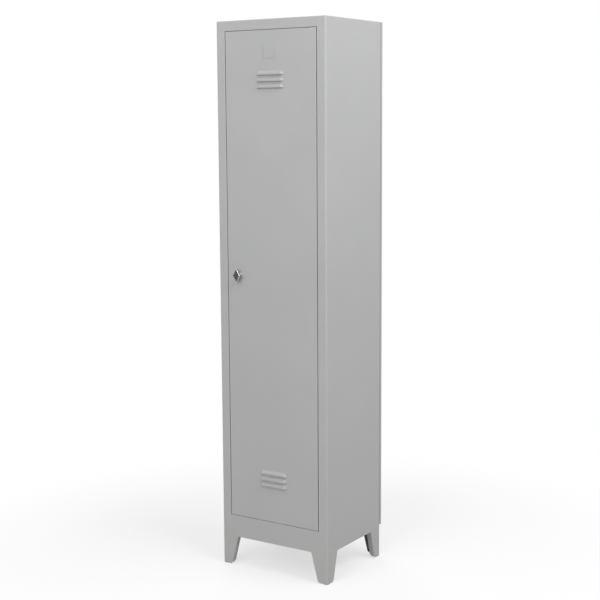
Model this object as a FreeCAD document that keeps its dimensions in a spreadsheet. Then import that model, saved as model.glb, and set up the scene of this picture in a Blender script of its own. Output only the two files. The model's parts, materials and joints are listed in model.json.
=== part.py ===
import FreeCAD, Part
import math
import os
from collections import namedtuple
from types import SimpleNamespace

import Sketcher

# A tall single-door clothes locker of bent sheet steel on four pressed legs.
# X runs across the locker from its middle, Y from the front face to the back and Z up from the floor.

# Driving sizes in millimetres.
SIZES = {
    # overall
    "locker_width": 415,
    "carcass_depth": 350,
    "locker_height": 1800,
    "leg_height": 100,
    # sheet and bends, radii on the outside of the bend
    "sheet": 1,
    "bend_radius": 6,
    "edge_radius": 2,
    "top_edge_radius": 3,
    # frame round the door
    "stile_width": 33.5,
    "top_rail_height": 32.5,
    "bottom_rail_height": 73.5,
    "frame_return": 24,
    "hinge_lip": 15.5,
    "stop_lip": 10,
    "rear_flange": 20,
    "strap_height": 20,
    "strap_setback": 30,
    "skirt_return": 15,
    # back panel
    "back_depth": 10,
    "back_lip": 17,
    "back_rise": 10,
    "wall_hole_radius": 3.5,
    "wall_hole_spacing": 300,
    "wall_hole_drop": 100,
    # legs and floor glides
    "leg_top_width": 62,
    "leg_foot_width": 36,
    "leg_return": 17,
    "foot_clip": 5,
    "return_clip": 12,
    "tab_start": 8,
    "tab_width": 24,
    "tab_rise": 60,
    "tab_overlap": 15,
    "glide_stand": 1.5,
    "glide_size": 14,
    "glide_height": 6,
    # hat shelf and its supports
    "shelf_height": 1480,
    "shelf_setback": 5,
    "shelf_clearance": 0.5,
    "shelf_front_flange": 25,
    "shelf_rear_flange": 15,
    "support_leg": 15,
    "support_thickness": 1.5,
    "support_length": 270,
    # hanging rail and its sockets
    "rail_height": 1400,
    "rail_radius": 10,
    "rail_wall": 1.2,
    "socket_radius": 18,
    "socket_plate": 2,
    "socket_wall": 3,
    "socket_depth": 10,
    "socket_clearance": 0.1,
    # door pan
    "door_side_gap": 2,
    "door_end_gap": 1,
    "door_depth": 20,
    "door_lip": 12,
    "stiffener_width": 50,
    "stiffener_depth": 12,
    "stiffener_flange": 10,
    "stiffener_length": 1100,
    # louvres, their place measured to the open mouth
    "louvre_width": 103,
    "louvre_height": 13,
    "louvre_reach": 6,
    "louvre_pitch": 20,
    "louvre_corner": 8,
    "louvre_round": 2.5,
    "louvre_wall_inset": 1.5,
    "crown_width": 93,
    "crown_height": 6,
    "crown_corner": 4,
    "upper_louvre_drop": 139.25,
    "lower_louvre_rise": 119.75,
    # lips of the card holder
    "card_width": 54,
    "card_height": 44,
    "card_drop": 94.25,
    "card_foot_width": 22,
    "card_foot_rise": 6,
    "card_lip_width": 5,
    "card_lip_reach": 1.5,
    "card_lip_thickness": 0.8,
    "card_lip_round": 1.2,
    # hinges
    "hinge_end_distance": 150,
    "pivot_inset": 10,
    "pivot_depth": 6,
    "pin_radius": 2.5,
    "pin_head_radius": 4,
    "pin_head_height": 1.5,
    "knuckle_radius": 4,
    "knuckle_height": 24,
    "lug_thickness": 2.5,
    "ear_thickness": 3,
    "ear_gap": 0.5,
    "ear_margin": 2,
    "bracket_reach": 13,
    "slot_clearance": 2,
    "slot_floor": 2.3,
    "rivet_radius": 2,
    "rivet_head_radius": 3.5,
    "rivet_head_height": 1.4,
    "rivet_spacing": 14,
    # fits
    "running_clearance": 0.08,
    "seat_clearance": 0.05,
    # latch
    "lock_inset": 45.5,
    "lock_height": 987,
    "lock_reach": 20,
    "rosette_radius": 10.5,
    "rosette_height": 4,
    "rosette_round": 2.5,
    "barrel_radius": 8,
    "barrel_length": 18,
    "barrel_hole_clearance": 0.2,
    "nut_size": 24,
    "nut_height": 5,
    "handle_gap": 0.5,
    "handle_width": 28,
    "handle_length": 46,
    "handle_waist_reach": 18.5,
    "handle_root_reach": 9.5,
    "handle_root_width": 27,
    "handle_root_length": 44,
    "handle_neck_radius": 7,
    "handle_face_width": 25,
    "handle_face_length": 41,
    "spindle_radius": 4,
    "tang_size": 5.5,
    "cam_gap": 1,
    "cam_thickness": 2.5,
    "cam_width": 18,
    "cam_heel": 9,
    "cam_length": 47,
    "cam_corner": 6,
    "cam_screw_radius": 2,
    "cam_screw_length": 12,
    "cam_screw_head_radius": 5,
    "cam_screw_head_height": 3,
    # rubber door buffers
    "buffer_radius": 3,
    "buffer_gap": 0.3,
    "buffer_end_distance": 220,
}

LOUVRES_IN_GROUP = 3
HEXAGON_SIDE_SHARE = 3 ** -0.5  # half a hexagon's side as a share of half its width across flats
NEAR = 1e-6


class Formula:
    """A length worked out from the sheet, kept as the text of the expression that gives it."""

    def __init__(self, text):
        self.text = str(text)

    def __str__(self):
        return self.text

    def __add__(self, other):
        return Formula(f"({self} + {other})")

    def __radd__(self, other):
        return Formula(f"({other} + {self})")

    def __sub__(self, other):
        return Formula(f"({self} - {other})")

    def __rsub__(self, other):
        return Formula(f"({other} - {self})")

    def __mul__(self, other):
        return Formula(f"({self} * ({other}))")

    __rmul__ = __mul__

    def __truediv__(self, other):
        return Formula(f"({self} / {other})")

    def __neg__(self):
        return Formula(f"(-1 * {self})")


document = FreeCAD.newDocument("locker")
sheet = document.addObject("Spreadsheet::Sheet", "Sizes")
for row, (alias, length) in enumerate(SIZES.items(), start=1):
    sheet.set(f"A{row}", alias.replace("_", " "))
    sheet.set(f"B{row}", str(length))
    sheet.setAlias(f"B{row}", alias)
document.recompute()

size = SimpleNamespace(**{alias: Formula(f"Sizes.{alias}") for alias in SIZES})
pieces = []

# Planes and edges that several pieces share.
half_width = size.locker_width / 2
inner_half = half_width - size.sheet
side_depth = size.carcass_depth - size.back_depth
front_face = -(size.carcass_depth - size.lock_reach) / 2
opening_half = half_width - size.stile_width
opening_bottom = size.leg_height + size.bottom_rail_height
opening_top = size.locker_height - size.top_rail_height
door_half = opening_half - size.door_side_gap
door_bottom = opening_bottom + size.door_end_gap
door_top = opening_top - size.door_end_gap
door_middle = (door_bottom + door_top) / 2
pivot_x = door_half - size.pivot_inset
rivet_x = opening_half + size.hinge_lip / 2 - pivot_x
plate_front = size.frame_return - size.pivot_depth
plate_back = plate_front + size.lug_thickness
hinge_heights = {
    "upper": door_top - size.hinge_end_distance,
    "middle": door_middle,
    "lower": door_bottom + size.hinge_end_distance,
}
lock_x = -(door_half - size.lock_inset)
handle_back = -(size.rosette_height + size.handle_gap)
cam_front = size.frame_return + size.cam_gap
cam_back = cam_front + size.cam_thickness

Circle = namedtuple("Circle", "across up radius")
# What a rounded front edge takes off a square one; rise is 1 where the sheet lies above it and -1 below.
EdgeWaste = namedtuple("EdgeWaste", "across up rise radius")


def number(formula):
    """The present value of a formula."""
    return float(sheet.evalExpression(str(formula)))


def rectangle(left, low, right, high):
    return [(left, low), (right, low), (right, high), (left, high)]


def new_body(label, x=0, y=0, z=0):
    """A body whose own origin lies at x, y behind the front face and z above the floor."""
    body = document.addObject("PartDesign::Body", label)
    body.Label = label
    body.AllowCompound = True
    body.setExpression("Placement.Base.x", str(x))
    body.setExpression("Placement.Base.y", str(front_face + y))
    body.setExpression("Placement.Base.z", str(z))
    pieces.append(body)
    return body


# Each axis of extrusion with its origin plane and the way that plane's normal points along the axis.
SKETCH_PLANES = {"x": ("YZ_Plane", 1), "y": ("XZ_Plane", -1), "z": ("XY_Plane", 1)}


def bind(sketch, kind, geometry, point, formula):
    """Holds one coordinate of a sketched point at a formula."""
    constraint = Sketcher.Constraint(kind, -1, 1, geometry, point, number(formula))
    index = sketch.addConstraint(constraint)
    sketch.setExpression(f"Constraints[{index}]", str(formula))


def draw_circle(sketch, circle):
    centre = FreeCAD.Vector(number(circle.across), number(circle.up), 0)
    ring = Part.Circle(centre, FreeCAD.Vector(0, 0, 1), number(circle.radius))
    geometry = sketch.addGeometry(ring, False)
    bind(sketch, "DistanceX", geometry, 3, circle.across)
    bind(sketch, "DistanceY", geometry, 3, circle.up)
    index = sketch.addConstraint(Sketcher.Constraint("Radius", geometry, number(circle.radius)))
    sketch.setExpression(f"Constraints[{index}]", str(circle.radius))


def draw_edge_waste(sketch, waste):
    """Two straight sides from the square edge, closed by the quarter arc that is left."""
    tangents = [(waste.across + waste.radius, waste.up), (waste.across, waste.up + waste.radius * waste.rise)]
    centre, corner, low, high = [
        FreeCAD.Vector(number(across), number(up), 0)
        for across, up in [(tangents[0][0], tangents[1][1]), (waste.across, waste.up), *tangents]
    ]
    turn = FreeCAD.Vector(0, 0, 1)
    start = math.pi if waste.rise > 0 else math.pi / 2
    low_end, high_end = (2, 1) if waste.rise > 0 else (1, 2)
    first = sketch.addGeometry(Part.LineSegment(corner, low), False)
    last = sketch.addGeometry(Part.LineSegment(high, corner), False)
    round_part = Part.Circle(centre, turn, number(waste.radius))
    arc = sketch.addGeometry(Part.ArcOfCircle(round_part, start, start + math.pi / 2), False)
    sketch.addConstraint(Sketcher.Constraint("Coincident", last, 2, first, 1))
    sketch.addConstraint(Sketcher.Constraint("Coincident", first, 2, arc, low_end))
    sketch.addConstraint(Sketcher.Constraint("Coincident", arc, high_end, last, 1))
    bound = [(first, 1, (waste.across, waste.up)), (first, 2, tangents[0]), (last, 1, tangents[1])]
    for line, end, (across, up) in bound:
        bind(sketch, "DistanceX", line, end, across)
        bind(sketch, "DistanceY", line, end, up)
    index = sketch.addConstraint(Sketcher.Constraint("Radius", arc, number(waste.radius)))
    sketch.setExpression(f"Constraints[{index}]", str(waste.radius))


def draw_polygon(sketch, corners):
    first = sketch.GeometryCount
    count = len(corners)
    places = [FreeCAD.Vector(number(across), number(up), 0) for across, up in corners]
    for start, end in zip(places, places[1:] + places[:1]):
        sketch.addGeometry(Part.LineSegment(start, end), False)
    for index in range(count):
        following = first + (index + 1) % count
        sketch.addConstraint(Sketcher.Constraint("Coincident", first + index, 2, following, 1))
    for index, (across, up) in enumerate(corners):
        bind(sketch, "DistanceX", first + index, 1, across)
        bind(sketch, "DistanceY", first + index, 1, up)


def new_sketch(body, axis, level, outlines):
    """A sketch square to an axis, at a level along it, holding circles, edge wastes and polygons."""
    role, turn = SKETCH_PLANES[axis]
    sketch = body.newObject("Sketcher::SketchObject", "Outline")
    plane = next(plane for plane in body.Origin.OriginFeatures if plane.Role == role)
    sketch.AttachmentSupport = [(plane, "")]
    sketch.MapMode = "FlatFace"
    sketch.setExpression("AttachmentOffset.Base.z", str(Formula(level) * turn))
    for outline in outlines:
        if isinstance(outline, Circle):
            draw_circle(sketch, outline)
        elif isinstance(outline, EdgeWaste):
            draw_edge_waste(sketch, outline)
        else:
            draw_polygon(sketch, outline)
    return sketch


def extrude(body, kind, axis, start, end, outlines):
    """Pads or pockets outlines from one level along an axis to a higher one."""
    sketch = new_sketch(body, axis, start, outlines)
    feature = body.newObject(f"PartDesign::{kind}", kind)
    feature.Profile = sketch
    feature.setExpression("Length", str(Formula(end) - start))
    along_normal = SKETCH_PLANES[axis][1] > 0
    feature.Reversed = along_normal if kind == "Pocket" else not along_normal
    return feature


def add(body, axis, start, end, *outlines):
    extrude(body, "Pad", axis, start, end, outlines)


def cut(body, axis, start, end, *outlines):
    extrude(body, "Pocket", axis, start, end, outlines)


def last_feature(body):
    """A body's last feature, worked out so that its faces and edges can be picked."""
    document.recompute()
    return body.Tip


def edges_along(axis, *places):
    """Picks the straight edges that run along an axis through the given places."""
    others = [name for name in "xyz" if name != axis]
    spots = [(number(first), number(second)) for first, second in places]

    def picked(edge):
        ends = [vertex.Point for vertex in edge.Vertexes]
        return len(ends) == 2 and any(
            all(
                abs(getattr(end, others[0]) - first) < NEAR and abs(getattr(end, others[1]) - second) < NEAR
                for end in ends
            )
            for first, second in spots
        )

    return picked


def edges_at_depth(depth):
    """Picks the edges that lie at one depth."""
    level = number(depth)
    return lambda edge: abs(edge.BoundBox.YMin - level) < NEAR and abs(edge.BoundBox.YMax - level) < NEAR


def round_off(body, radius, picked):
    """Rounds the picked edges of a body's last feature."""
    base = last_feature(body)
    names = [f"Edge{index}" for index, edge in enumerate(base.Shape.Edges, start=1) if picked(edge)]
    if not names:
        raise RuntimeError(f"no edge of {body.Label} was picked for rounding")
    fillet = body.newObject("PartDesign::Fillet", "Bend")
    fillet.Base = (base, names)
    fillet.setExpression("Radius", str(radius))


def bend(body, axis, radius, outside, inside):
    """Rounds one sheet bend on both faces, so that the sheet keeps its thickness."""
    round_off(body, radius, edges_along(axis, *outside))
    round_off(body, radius - size.sheet, edges_along(axis, *inside))


def hollow(body, open_face):
    """Leaves a wall of one sheet behind every face but the open one."""
    base = last_feature(body)
    faces = [f"Face{index}" for index, face in enumerate(base.Shape.Faces, start=1) if open_face(face)]
    shell = body.newObject("PartDesign::Thickness", "Walls")
    shell.Base = (base, faces)
    shell.setExpression("Value", str(size.sheet))
    shell.Reversed = True


def faces_at_height(height):
    """Picks the flat faces that lie level at one height."""
    level = number(height)
    return lambda face: abs(face.BoundBox.ZMin - level) < NEAR and abs(face.BoundBox.ZMax - level) < NEAR


def both_sides(across, *rest):
    return [(across, *rest), (-across, *rest)]


def corner_posts():
    """The four upright outer corners of the carcass in plan."""
    return [place for depth in (0, side_depth) for place in both_sides(half_width, depth)]


def top_panel():
    """A lid whose front wall is the frame's upper rail; straps inside it hold the side panels."""
    body = new_body("top_panel")
    add(body, "z", opening_top, size.locker_height, rectangle(-half_width, 0, half_width, side_depth))
    round_off(body, size.bend_radius, edges_along("z", *corner_posts()))
    top = number(size.locker_height)
    round_off(body, size.top_edge_radius, lambda edge: edge.BoundBox.ZMin > top - NEAR)
    hollow(body, faces_at_height(opening_top))
    rail_return = rectangle(-opening_half, 0, opening_half, size.frame_return)
    add(body, "z", opening_top, opening_top + size.sheet, rail_return)
    cut(body, "x", -opening_half, opening_half, EdgeWaste(Formula(0), opening_top, 1, size.edge_radius))
    strap = rectangle(
        size.strap_setback, opening_top - size.strap_height,
        side_depth - size.strap_setback, opening_top + size.strap_height,
    )
    add(body, "x", inner_half - size.sheet, inner_half, strap)
    add(body, "x", -inner_half, -inner_half + size.sheet, strap)


def base_panel():
    """The floor with deep skirts; the front one is the frame's lower rail, and all are folded in below."""
    body = new_body("base_panel")
    add(body, "z", size.leg_height, opening_bottom, rectangle(-half_width, 0, half_width, side_depth))
    round_off(body, size.bend_radius, edges_along("z", *corner_posts()))
    hollow(body, faces_at_height(size.leg_height))
    fold_half = half_width - size.leg_top_width
    fold_front = size.leg_top_width
    fold_back = side_depth - size.leg_top_width
    fold_edge = half_width - size.skirt_return
    add(
        body, "z", size.leg_height, size.leg_height + size.sheet,
        rectangle(-fold_half, 0, fold_half, size.skirt_return),
        rectangle(-fold_half, side_depth - size.skirt_return, fold_half, side_depth),
        rectangle(fold_edge, fold_front, half_width, fold_back),
        rectangle(-half_width, fold_front, -fold_edge, fold_back),
    )
    cut(body, "x", -opening_half, opening_half, EdgeWaste(Formula(0), opening_bottom, -1, size.edge_radius))


def side_panel(label, side, lip_corners):
    """A side wall bent at the front into its stile and the frame's return, and flanged at the back."""
    body = new_body(label)
    wall = [
        (opening_half, 0),
        (half_width, 0),
        (half_width, side_depth),
        (half_width - size.rear_flange, side_depth),
        (half_width - size.rear_flange, side_depth - size.sheet),
        (inner_half, side_depth - size.sheet),
        (inner_half, size.sheet),
        (opening_half + size.sheet, size.sheet),
    ]
    profile = [(side * across, depth) for across, depth in wall + lip_corners]
    add(body, "z", opening_bottom, opening_top, profile)
    bend(
        body, "z", size.bend_radius,
        [(side * half_width, 0), (side * half_width, side_depth)],
        [(side * inner_half, size.sheet), (side * inner_half, side_depth - size.sheet)],
    )
    bend(
        body, "z", size.edge_radius,
        [(side * opening_half, 0)],
        [(side * (opening_half + size.sheet), size.sheet)],
    )
    return body


def left_side_panel():
    """The latch side, whose frame lip stands into the opening as the door's stop."""
    lip_edge = opening_half - size.stop_lip
    lip_front = size.frame_return - size.sheet
    side_panel(
        "left_side_panel", -1,
        [
            (opening_half + size.sheet, size.frame_return),
            (lip_edge, size.frame_return),
            (lip_edge, lip_front),
            (opening_half, lip_front),
        ],
    )


def right_side_panel():
    """The hinge side, whose frame lip turns into the stile and carries the hinge lugs."""
    lip_edge = opening_half + size.hinge_lip
    lip_front = size.frame_return - size.sheet
    body = side_panel(
        "right_side_panel", 1,
        [
            (opening_half + size.sheet, lip_front),
            (lip_edge, lip_front),
            (lip_edge, size.frame_return),
            (opening_half, size.frame_return),
        ],
    )
    holes = [
        Circle(pivot_x + rivet_x, height + offset, size.rivet_radius + size.seat_clearance)
        for height in hinge_heights.values()
        for offset in (size.rivet_spacing / 2, -size.rivet_spacing / 2)
    ]
    cut(body, "y", lip_front, size.frame_return, *holes)


def back_panel():
    """A shallow tray whose lips lie on the flanges of the sides, with two holes for wall screws."""
    body = new_body("back_panel")
    lip_edge = half_width - size.back_lip
    lip_back = side_depth + size.sheet
    rear_inside = size.carcass_depth - size.sheet
    right_half = [
        (lip_edge, lip_back),
        (lip_edge, side_depth),
        (half_width, side_depth),
        (half_width, size.carcass_depth),
    ]
    right_inside = [(inner_half, rear_inside), (inner_half, lip_back)]
    left_half = [(-across, depth) for across, depth in reversed(right_half)]
    left_inside = [(-across, depth) for across, depth in reversed(right_inside)]
    profile = right_half + left_half + left_inside + right_inside
    foot = size.leg_height + size.back_rise
    add(body, "z", foot, size.locker_height, profile)
    bend(
        body, "z", size.edge_radius,
        both_sides(half_width, size.carcass_depth) + both_sides(half_width, side_depth),
        both_sides(inner_half, rear_inside) + both_sides(inner_half, lip_back),
    )
    cap_half = half_width - size.edge_radius
    cap = rectangle(-cap_half, side_depth, cap_half, size.carcass_depth)
    add(body, "z", foot, foot + size.sheet, cap)
    add(body, "z", size.locker_height - size.sheet, size.locker_height, cap)
    hole_height = size.locker_height - size.wall_hole_drop
    holes = [
        Circle(across, height, size.wall_hole_radius)
        for across, height in both_sides(size.wall_hole_spacing / 2, hole_height)
    ]
    cut(body, "y", rear_inside, size.carcass_depth, *holes)


def leg(label, side, depth_at):
    """A tapered angle with a folded return on each slanting edge and two tabs inside the skirts.

    across(u) and depth_at(v) turn distances in from the outer faces of the corner into X and Y.
    """
    body = new_body(label)

    def across(inset):
        return side * (half_width - inset)

    def span(axis, near, far):
        """The two levels of an extrusion, lower one first."""
        levels = [across(near), across(far)] if axis == "x" else [depth_at(near), depth_at(far)]
        return sorted(levels, key=number)

    def place(axis, outline):
        """Moves an outline drawn from the corner to this leg, for an extrusion along the axis."""
        shift = {"x": depth_at, "y": across}[axis]
        return [(shift(inset), height) for inset, height in outline]

    top = size.leg_top_width
    foot = size.leg_foot_width
    wall = size.sheet
    floor = size.glide_stand
    angle = [(0, 0), (top, 0), (top, wall), (wall, wall), (wall, top), (0, top)]
    angle_in_place = [(across(u), depth_at(v)) for u, v in angle]
    add(body, "z", floor, size.leg_height, angle_in_place)
    bend(
        body, "z", size.bend_radius,
        [(across(0), depth_at(0))],
        [(across(wall), depth_at(wall))],
    )
    beyond = top + wall
    taper = [(foot, floor), (beyond, floor), (beyond, size.leg_height), (top, size.leg_height)]
    fold = [(foot - wall, floor), (foot, floor), (top, size.leg_height), (top - wall, size.leg_height)]
    clip = [(foot - size.foot_clip, floor), (beyond, floor), (beyond, floor + size.foot_clip),
            (foot, floor + size.foot_clip)]
    fold_clip = [
        (size.leg_return - size.return_clip, floor),
        (size.leg_return, floor),
        (size.leg_return, floor + size.return_clip),
    ]
    tab = rectangle(
        size.tab_start, size.leg_height - size.tab_overlap,
        size.tab_start + size.tab_width, size.leg_height + size.tab_rise,
    )
    for axis, other in (("y", "x"), ("x", "y")):
        cut(body, axis, *span(axis, 0, wall), place(axis, taper))
        add(body, axis, *span(axis, 0, size.leg_return), place(axis, fold))
        cut(body, axis, *span(axis, 0, size.leg_return), place(axis, clip))
        cut(body, other, *span(other, foot / 2, top), place(other, fold_clip))
        add(body, axis, *span(axis, wall, wall * 2), place(axis, tab))


def legs():
    def from_front(inset):
        return Formula(inset)

    def from_back(inset):
        return side_depth - inset

    for end, depth_at in (("front", from_front), ("rear", from_back)):
        leg(f"{end}_left_leg", -1, depth_at)
        leg(f"{end}_right_leg", 1, depth_at)


def floor_glides():
    """Plastic glides pushed into the corners of the legs; the locker stands on them."""
    body = new_body("floor_glides")
    near = size.sheet
    far = size.sheet + size.glide_size
    pads = [
        rectangle(left, low, right, high)
        for left, right in ((half_width - far, half_width - near), (near - half_width, far - half_width))
        for low, high in ((near, far), (side_depth - far, side_depth - near))
    ]
    add(body, "z", 0, size.glide_height, *pads)
    corners = [place for depth in (near, side_depth - near) for place in both_sides(inner_half, depth)]
    round_off(body, size.bend_radius, edges_along("z", *corners))


def hat_shelf():
    """A shelf turned down at the front and the back."""
    body = new_body("hat_shelf")
    half = inner_half - size.shelf_clearance
    front = size.frame_return + size.shelf_setback
    back = side_depth - size.bend_radius - size.shelf_clearance
    under = size.shelf_height - size.sheet
    profile = [
        (front, size.shelf_height - size.shelf_front_flange),
        (front + size.sheet, size.shelf_height - size.shelf_front_flange),
        (front + size.sheet, under),
        (back - size.sheet, under),
        (back - size.sheet, size.shelf_height - size.shelf_rear_flange),
        (back, size.shelf_height - size.shelf_rear_flange),
        (back, size.shelf_height),
        (front, size.shelf_height),
    ]
    add(body, "x", -half, half, profile)
    bend(
        body, "x", size.edge_radius,
        [(front, size.shelf_height), (back, size.shelf_height)],
        [(front + size.sheet, under), (back - size.sheet, under)],
    )


def shelf_support(label, side):
    """An angle on the side wall under one end of the hat shelf."""
    body = new_body(label)
    top = size.shelf_height - size.sheet
    angle = [
        (inner_half, top),
        (inner_half - size.support_leg, top),
        (inner_half - size.support_leg, top - size.support_thickness),
        (inner_half - size.support_thickness, top - size.support_thickness),
        (inner_half - size.support_thickness, top - size.support_leg),
        (inner_half, top - size.support_leg),
    ]
    middle = side_depth / 2
    start = middle - size.support_length / 2
    add(body, "y", start, start + size.support_length, [(side * across, height) for across, height in angle])


def hanging_rail():
    """A tube that runs from one socket plate to the other."""
    body = new_body("hanging_rail", 0, side_depth / 2, size.rail_height)
    half = inner_half - size.socket_plate
    add(
        body, "x", -half, half,
        Circle(0, 0, size.rail_radius), Circle(0, 0, size.rail_radius - size.rail_wall),
    )


def rail_socket(label, side):
    """A round plate on the side wall with a ring that the rail's end sits in."""
    body = new_body(label, 0, side_depth / 2, size.rail_height)
    plate = inner_half - size.socket_plate
    ring = plate - size.socket_depth
    bore = size.rail_radius + size.socket_clearance
    add(body, "x", *sorted((side * plate, side * inner_half), key=number), Circle(0, 0, size.socket_radius))
    add(
        body, "x", *sorted((side * ring, side * plate), key=number),
        Circle(0, 0, bore + size.socket_wall), Circle(0, 0, bore),
    )


def hinge_lug(label, height):
    """A knuckle on the pivot with an arm that goes back round the door's edge to the frame's lip."""
    body = new_body(label, pivot_x, size.pivot_depth, height)
    half = size.knuckle_height / 2
    arm = size.lug_thickness / 2
    far = opening_half + size.hinge_lip - pivot_x
    strap = [
        (-arm, 0), (arm, 0), (arm, plate_front),
        (far, plate_front), (far, plate_back), (-arm, plate_back),
    ]
    add(body, "z", -half, half, strap)
    round_off(body, size.lug_thickness, edges_along("z", (-arm, plate_back)))
    add(body, "z", -half, half, Circle(0, 0, size.knuckle_radius))
    cut(body, "z", -half, half, Circle(0, 0, size.pin_radius + size.running_clearance))
    holes = [
        Circle(rivet_x, offset, size.rivet_radius + size.seat_clearance)
        for offset in (size.rivet_spacing / 2, -size.rivet_spacing / 2)
    ]
    cut(body, "y", plate_front, plate_back, *holes)


def ear_levels():
    """Inner and outer levels of the bracket's ears, from the middle of the hinge."""
    inner = size.knuckle_height / 2 + size.ear_gap
    return inner, inner + size.ear_thickness


def hinge_bracket(label, height):
    """Two ears on a web, welded inside the door's face, that hold the pin above and below the knuckle."""
    body = new_body(label, pivot_x, size.pivot_depth, height)
    face = size.sheet - size.pivot_depth
    edge = size.pin_radius + size.ear_margin
    inner, outer = ear_levels()
    web = rectangle(-size.bracket_reach, face, -size.bracket_reach + size.ear_thickness, edge)
    ear = rectangle(-size.bracket_reach, face, edge, edge)
    hole = Circle(0, 0, size.pin_radius + size.seat_clearance)
    add(body, "z", -outer, outer, web)
    add(body, "z", inner, outer, ear)
    add(body, "z", -outer, -inner, ear)
    cut(body, "z", -outer, outer, hole)


def hinge_pin(label, height):
    """A headed pin that hangs on the upper ear."""
    body = new_body(label, pivot_x, size.pivot_depth, height)
    outer = ear_levels()[1]
    add(body, "z", -outer, outer + size.pin_head_height, Circle(0, 0, size.pin_radius))
    add(body, "z", outer, outer + size.pin_head_height, Circle(0, 0, size.pin_head_radius))


def hinges():
    for place, height in hinge_heights.items():
        hinge_lug(f"{place}_hinge_lug", height)
        hinge_bracket(f"{place}_hinge_bracket", height)
        hinge_pin(f"{place}_hinge_pin", height)


def hinge_rivets():
    """Rivets through the lugs and the frame's lip."""
    body = new_body("hinge_rivets", pivot_x, size.pivot_depth)
    lip_front = plate_front - size.sheet

    def ring(radius):
        return [
            Circle(rivet_x, height + offset, radius)
            for height in hinge_heights.values()
            for offset in (size.rivet_spacing / 2, -size.rivet_spacing / 2)
        ]

    add(body, "y", lip_front, plate_back, *ring(size.rivet_radius))
    add(body, "y", plate_back, plate_back + size.rivet_head_height, *ring(size.rivet_head_radius))
    add(body, "y", lip_front - size.rivet_head_height, lip_front, *ring(size.rivet_head_radius))


def louvre_mouths():
    """Heights of the louvres' open lower edges."""
    highest = door_top - size.upper_louvre_drop
    lowest = door_bottom + size.lower_louvre_rise
    upper = [highest - size.louvre_pitch * step for step in range(LOUVRES_IN_GROUP)]
    lower = [lowest + size.louvre_pitch * step for step in range(LOUVRES_IN_GROUP)]
    return upper + lower


def louvre_section(mouth, reach, inset):
    """The outline of a louvre at a reach from the door's face, drawn in by an inset from its outside."""
    share = reach / size.louvre_reach
    half = (size.louvre_width - (size.louvre_width - size.crown_width) * share) / 2 - inset
    rise = size.louvre_height - (size.louvre_height - size.crown_height) * share - inset
    corner = size.louvre_corner - (size.louvre_corner - size.crown_corner) * share
    shoulder = mouth + rise - corner
    crest = mouth + rise
    return [
        (-half, mouth), (half, mouth), (half, shoulder),
        (half - corner, crest), (-half + corner, crest), (-half, shoulder),
    ]


def loft(body, kind, levels_and_outlines):
    """Joins outlines at levels along Y with flat faces, adding to the body or taking from it."""
    sections = [new_sketch(body, "y", level, [outline]) for level, outline in levels_and_outlines]
    feature = body.newObject(f"PartDesign::{kind}", kind)
    feature.Profile = sections[0]
    feature.Sections = sections[1:]
    feature.Ruled = True


def press_louvres(body):
    """Scoops pressed out of the door's face, open below and towards the inside."""
    mouths = louvre_mouths()
    face = Formula(0)
    reach = size.louvre_reach
    skin = reach - size.sheet
    inset = size.louvre_wall_inset
    for mouth in mouths:
        hood = [(-level, louvre_section(mouth, level, 0)) for level in (face, reach)]
        loft(body, "AdditiveLoft", hood)
    front = number(-reach)
    heights = [number(mouth) for mouth in mouths]

    def on_hood(edge):
        box = edge.BoundBox
        in_mouth = any(abs(box.ZMin - z) < NEAR and abs(box.ZMax - z) < NEAR for z in heights)
        return abs(box.YMin - front) < NEAR and not in_mouth

    round_off(body, size.louvre_round, on_hood)
    for mouth in mouths:
        cavity = [(-level, louvre_section(mouth, level, inset)) for level in (face, skin)]
        loft(body, "SubtractiveLoft", cavity)
    cut(body, "y", 0, size.sheet, *[louvre_section(mouth, face, inset) for mouth in mouths])


def press_card_lips(body):
    """Three raised lips that hold a name card: one at each side and a short one below."""
    low = door_top - size.card_drop
    high = low + size.card_height
    half = size.card_width / 2
    foot = size.card_foot_width / 2
    thin = size.card_lip_thickness
    reach = -size.card_lip_reach
    inner = half - size.card_lip_width
    sill = low + size.card_foot_rise
    roots = [
        rectangle(-half, low, -half + thin, high),
        rectangle(half - thin, low, half, high),
        rectangle(-foot, sill, foot, sill + thin),
    ]
    flaps = [
        rectangle(-half, low, -inner, high),
        rectangle(inner, low, half, high),
        rectangle(-foot, sill, foot, sill + size.card_lip_width),
    ]
    add(body, "y", reach, 0, *roots)
    add(body, "y", reach, reach + thin, *flaps)
    round_off(body, size.card_lip_round, edges_along("z", *both_sides(half, reach)))
    round_off(body, size.card_lip_round, edges_along("x", (reach, sill)))


def door_panel():
    """The door pan, open at the back, with lips on three edges and slots for the hinge lugs on the fourth."""
    body = new_body("door_panel")
    add(body, "y", 0, size.door_depth, rectangle(-door_half, door_bottom, door_half, door_top))
    round_off(body, size.edge_radius, edges_at_depth(0))
    back = number(size.door_depth)
    hollow(body, lambda face: face.BoundBox.YMin > back - NEAR)
    lip = size.door_lip
    lips = [
        (-door_half, door_bottom), (door_half, door_bottom),
        (door_half, door_bottom + lip), (-door_half + lip, door_bottom + lip),
        (-door_half + lip, door_top - lip), (door_half, door_top - lip),
        (door_half, door_top), (-door_half, door_top),
    ]
    add(body, "y", size.door_depth - size.sheet, size.door_depth, lips)
    slot_half = size.knuckle_height / 2 + size.slot_clearance
    slots = [
        rectangle(size.slot_floor, height - slot_half, size.door_depth, height + slot_half)
        for height in hinge_heights.values()
    ]
    cut(body, "x", door_half - size.sheet, door_half, *slots)
    cut(
        body, "y", 0, size.sheet,
        Circle(lock_x, size.lock_height, size.barrel_radius + size.barrel_hole_clearance),
    )
    press_louvres(body)
    press_card_lips(body)


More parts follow.
